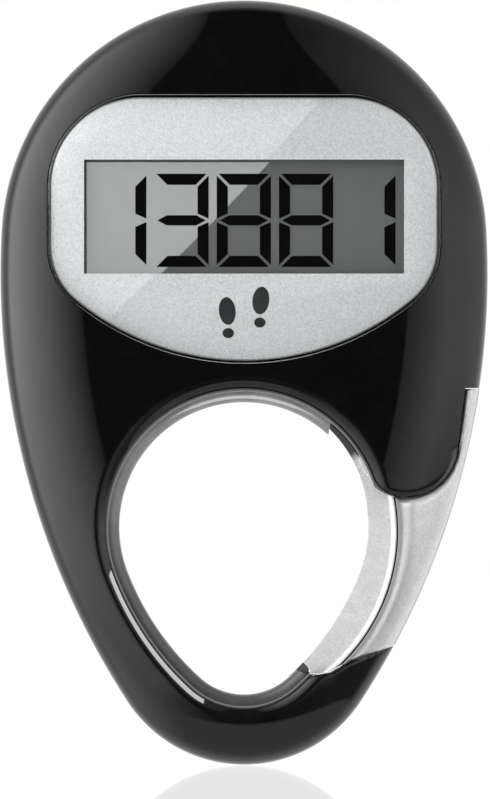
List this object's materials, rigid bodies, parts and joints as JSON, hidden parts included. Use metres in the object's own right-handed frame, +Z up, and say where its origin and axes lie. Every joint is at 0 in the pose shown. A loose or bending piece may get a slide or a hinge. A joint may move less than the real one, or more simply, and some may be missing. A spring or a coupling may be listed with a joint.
{
  "type": "clip-on electronic counter",
  "caption": "Egg-shaped clip-on electronic counter with a segment display under a clear lens and a sprung carabiner gate closing an open eye.",
  "frame": {"origin": "centre of the eye's round upper part, halfway through the body's thickness", "axes": "+X to the right seen from the front, -Y out of the display, +Z up towards the crown, -Z towards the tip"},
  "size_m": [0.051, 0.012, 0.08],
  "materials": {
    "shell_black": "high gloss",
    "lens_clear": "polished clear acrylic",
    "plate_silver": "satin silver print",
    "tape_black": "matt",
    "lcd_glass": "polished",
    "lcd_reflector": "fine matt grey",
    "holder_black": "moulded matt",
    "zebra_rubber": "silicone",
    "board_green": "solder mask",
    "epoxy_black": "glossy drop",
    "chip_black": "moulded",
    "can_metal": "drawn can",
    "capacitor_tan": "sintered",
    "resistor_black": "fired",
    "switch_metal": "stamped",
    "button_grey": "fine texture",
    "holder_white": "moulded",
    "cell_steel": "nickel plated",
    "contact_metal": "gold flash",
    "door_black": "gloss with fine wear",
    "seal_rubber": "nitrile",
    "gate_silver": "fine metallic flake",
    "pin_steel": "ground",
    "spring_steel": "drawn wire",
    "screw_steel": "zinc"
  },
  "bodies": {
    "case": {"front_shell": "shell_black", "rear_shell": "shell_black", "display_lens": "lens_clear", "face_plate": "plate_silver", "plate_adhesive": "tape_black", "lcd_front_glass": "lcd_glass", "lcd_rear_glass": "lcd_glass", "lcd_reflector": "lcd_reflector", "display_holder": "holder_black", "zebra_strips": "zebra_rubber", "circuit_board": "board_green", "controller_blob": "epoxy_black", "motion_sensor": "chip_black", "timing_crystal": "can_metal", "chip_capacitors": "capacitor_tan", "chip_resistors": "resistor_black", "reset_switch": "switch_metal", "battery_holder": "holder_white", "battery_cell": "cell_steel", "battery_plus_contact": "contact_metal", "battery_minus_contact": "contact_metal", "gate_pivot_pin": "pin_steel", "case_screws": "screw_steel", "board_screws": "screw_steel"},
    "gate": {"gate_lever": "gate_silver", "gate_front_cover": "gate_silver", "gate_spring": "spring_steel"},
    "reset_button": {"reset_button": "button_grey", "reset_plunger": "chip_black"},
    "battery_door": {"battery_door": "door_black", "door_seal": "seal_rubber"}
  },
  "joints": [
    {"name": "gate_swing", "type": "hinge", "parent": "case", "child": "gate", "pos_m": [0.01686, 0, 0.00859], "axis": [0, 1, 0], "range_deg": [0, 24], "stiffness_Nm_per_rad": 0.03, "springref_deg": -22.92},
    {"name": "reset_press", "type": "slide", "parent": "case", "child": "reset_button", "axis": [0, -1, 0], "range_m": [0, 0.00035], "stiffness_N_per_m": 1500, "springref_m": -0.0003},
    {"name": "battery_door_turn", "type": "hinge", "parent": "case", "child": "battery_door", "pos_m": [0, 0.005, 0.02999], "axis": [0, 1, 0], "range_deg": [0, 30]}
  ]
}
